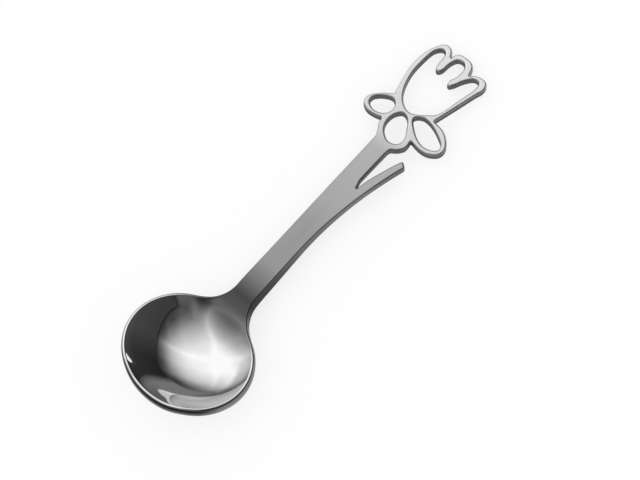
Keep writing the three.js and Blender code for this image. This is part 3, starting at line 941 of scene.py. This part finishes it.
def steel():
    material = bpy.data.materials.new("steel")
    material.use_nodes = True
    tree = material.node_tree
    shader = tree.nodes["Principled BSDF"]
    place = tree.nodes.new("ShaderNodeTexCoord").outputs["Object"]
    split = tree.nodes.new("ShaderNodeSeparateXYZ")
    tree.links.new(place, split.inputs[0])
    along = maths(tree, "MULTIPLY_ADD", split.outputs["X"], 1 / MM, -REST_SHIFT)
    across = times(tree, split.outputs["Y"], 1 / MM)
    wall_node = tree.nodes.new("ShaderNodeAttribute")
    wall_node.attribute_name = "wall"
    wall = wall_node.outputs["Fac"]
    satin = ramp(tree, along, SATIN_STOPS)
    grain = noise(tree, place, *GRAIN)
    cloud = noise(tree, place, *CLOUD)
    scratch = maths(tree, "SUBTRACT", noise(tree, place, *SCRATCH), SCRATCH_FROM)
    scratch = maths(tree, "MULTIPLY", scratch, SCRATCH_GAIN, clamp=True)

    brushed = times(tree, maths(tree, "SUBTRACT", grain, NOISE_MEAN), times(tree, satin, GRAIN_SHADE))
    # Painted shade along the ladle: the base colour darkens towards the neck and pales on the flower
    grey = times(tree, ramp(tree, along, TONE_AND_PAINTED_SHADE_STOPS), maths(tree, "ADD", brushed, 1))
    # Painted shade: a grey painted reflection on the front wall inside the bowl
    grey = times(tree, grey, maths(tree, "MULTIPLY_ADD", bowl_painted_shade(tree, along, across), -FRONT_PAINTED_SHADE, 1))
    # Painted shade on upright edges: their colour blends towards a dark grey that changes along the ladle
    grey = blend(tree, ramp(tree, wall, WALL_STOPS), grey, ramp(tree, along, EDGE_PAINTED_SHADE_STOPS))
    cool = [times(tree, grey, tint) for tint in COOL_TINT]
    # Painted shade too: the glancing shine is dimmed on upright edges
    glancing = ramp(tree, wall, GRAZE_STOPS)

    rough = maths(tree, "MULTIPLY_ADD", satin, SATIN_ROUGH, BOWL_ROUGH)
    rough = maths(tree, "MULTIPLY_ADD", maths(tree, "SUBTRACT", cloud, NOISE_MEAN), CLOUD_ROUGH, rough)
    rough = maths(tree, "MULTIPLY_ADD", times(tree, scratch, satin), SCRATCH_ROUGH, rough)
    rough = maths(tree, "MULTIPLY_ADD", wall, WALL_ROUGH, rough)

    bump = tree.nodes.new("ShaderNodeBump")
    bump.inputs["Distance"].default_value = BUMP_DEPTH
    tree.links.new(maths(tree, "MULTIPLY_ADD", satin, BUMP_SATIN, BUMP_LEAST), bump.inputs["Strength"])
    tree.links.new(maths(tree, "MULTIPLY_ADD", scratch, BUMP_SCRATCH, grain), bump.inputs["Height"])

    shader.inputs["Metallic"].default_value = 1
    tree.links.new(combined(tree, *cool, grey), shader.inputs["Base Color"])
    tree.links.new(combined(tree, glancing, glancing, glancing), shader.inputs["Specular Tint"])
    tree.links.new(rough, shader.inputs["Roughness"])
    tree.links.new(bump.outputs[0], shader.inputs["Normal"])
    return material


# Camera where the photograph was taken from


def photo_camera():
    data = bpy.data.cameras.new("camera")
    data.lens = CAMERA_LENS
    data.sensor_width = CAMERA_SENSOR
    data.sensor_fit = "HORIZONTAL"
    data.clip_start = CAMERA_NEAR
    heading, height = math.radians(CAMERA_HEADING), math.radians(CAMERA_HEIGHT)
    axes = turned(np.array([
        [math.cos(heading), math.sin(heading), 0],
        [-math.sin(heading) * math.sin(height), math.cos(heading) * math.sin(height), math.cos(height)],
        [math.sin(heading) * math.cos(height), -math.cos(heading) * math.cos(height), math.sin(height)],
    ]))
    matrix = Matrix.Identity(4)
    for r, row in enumerate(np.column_stack([*axes, laid_down(np.array([CAMERA_EYE]))[0]])):
        matrix[r] = row
    camera = added("camera", data)
    camera.matrix_world = matrix
    bpy.context.scene.camera = camera


# Room around the ladle, and the floor it lies on


def side_level(tree, direction, beyond, stops, ways):
    """Level of one side of the room, by the distance beyond the edge and the ways across the room."""
    level = ramp(tree, beyond, stops)
    for way, way_stops in ways:
        level = maths(tree, "ADD", ramp(tree, along_way(tree, direction, way), way_stops), level)
    return level


def darkened(tree, level, beyond, line, dark_line, share):
    """The level with a share of a soft dark line along the edge."""
    width, strength, change = dark_line
    depth = times(tree, maths(tree, "MULTIPLY_ADD", line, change, strength, clamp=True), share)
    return times(tree, level, maths(tree, "SUBTRACT", 1, times(tree, bell(tree, beyond, width), depth)))


def room_level(tree):
    """Brightness of the room by direction."""
    direction = tree.nodes.new("ShaderNodeTexCoord").outputs["Generated"]
    line = along_way(tree, direction, EDGE_LINE)
    course = EDGE_COURSE[-1]
    for factor in EDGE_COURSE[-2::-1]:
        course = maths(tree, "MULTIPLY_ADD", line, course, factor)
    beyond = maths(tree, "SUBTRACT", along_way(tree, direction, EDGE_WAY), course)
    before_end = soft_step(tree, beyond, END_SOFT)
    past_end = maths(tree, "SUBTRACT", along_way(tree, direction, END_WAY), END_AT)
    beyond = maths(tree, "SMOOTH_MAX", beyond, past_end, END_SOFT)
    beyond = maths(tree, "SMOOTH_MAX", beyond, maths(tree, "SUBTRACT", line, LINE_END), LINE_END_SOFT)

    bright = side_level(tree, direction, beyond, BRIGHT_STOPS, BRIGHT_WAYS)
    bright = blend(tree, before_end, END_LEVEL, bright)
    inner = maths(tree, "SMOOTH_MIN", times(tree, beyond, STREAK_RISE), 1, STREAK_SOFT, clamp=True)
    for way, at, width, height in STREAKS:
        glow = bell(tree, maths(tree, "SUBTRACT", along_way(tree, direction, way), at), width)
        bright = maths(tree, "MULTIPLY_ADD", times(tree, glow, inner), height, bright)

    dim = side_level(tree, direction, beyond, DIM_STOPS, DIM_WAYS)
    side = soft_step(tree, beyond, EDGE_SOFT)
    level = blend(tree, side, dim, bright)
    level = darkened(tree, level, beyond, line, BROAD_LINE, side)
    level = darkened(tree, level, beyond, line, THIN_LINE, THIN_DEPTH)
    return maths(tree, "MINIMUM", maths(tree, "MAXIMUM", level, DARKEST), BRIGHTEST)


def white_light(tree):
    node = tree.nodes.new("ShaderNodeBackground")
    node.inputs["Color"].default_value = (1, 1, 1, 1)
    return node


def studio_world():
    """Room for the rays that show it, and even white light on all else."""
    world = bpy.data.worlds.new("studio")
    bpy.context.scene.world = world
    world.use_nodes = True
    tree = world.node_tree
    tree.nodes.clear()
    room = white_light(tree)
    tree.links.new(room_level(tree), room.inputs["Strength"])
    surface = mixed(tree, seen_rays(tree), white_light(tree), room)
    tree.links.new(surface, tree.nodes.new("ShaderNodeOutputWorld").inputs["Surface"])


def floor_paint():
    material = bpy.data.materials.new("floor")
    material.use_nodes = True
    tree = material.node_tree
    tree.nodes.clear()
    matt = tree.nodes.new("ShaderNodeBsdfDiffuse")
    matt.inputs["Color"].default_value = (FLOOR_MATT, FLOOR_MATT, FLOOR_MATT, 1)
    glow = tree.nodes.new("ShaderNodeEmission")
    glow.inputs["Color"].default_value = (FLOOR_GLOW, FLOOR_GLOW, FLOOR_GLOW, 1)
    tree.links.new(seen_rays(tree), glow.inputs["Strength"])
    surface = mixed(tree, FLOOR_GLOW_SHARE, matt, glow)
    tree.links.new(surface, tree.nodes.new("ShaderNodeOutputMaterial").inputs["Surface"])
    return material


def floor_mesh():
    half, level = FLOOR_HALF, -FLOOR_DROP
    corners = [(-half, -half, level), (half, -half, level), (half, half, level), (-half, half, level)]
    mesh = bpy.data.meshes.new("floor")
    mesh.from_pydata(corners, [], [(0, 1, 2, 3)])
    mesh.materials.append(floor_paint())
    return mesh


ladle = added("ladle", ladle_mesh())
ladle.data.materials.append(steel())
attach(ladle, "root")
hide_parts("bowl", "neck", "handle", "stem", "side_leaf", "leaf_whorl", "tulip_cup")

photo_camera()
studio_world()
floor = added("floor", floor_mesh())
bpy.context.scene.view_settings.view_transform = "Standard"
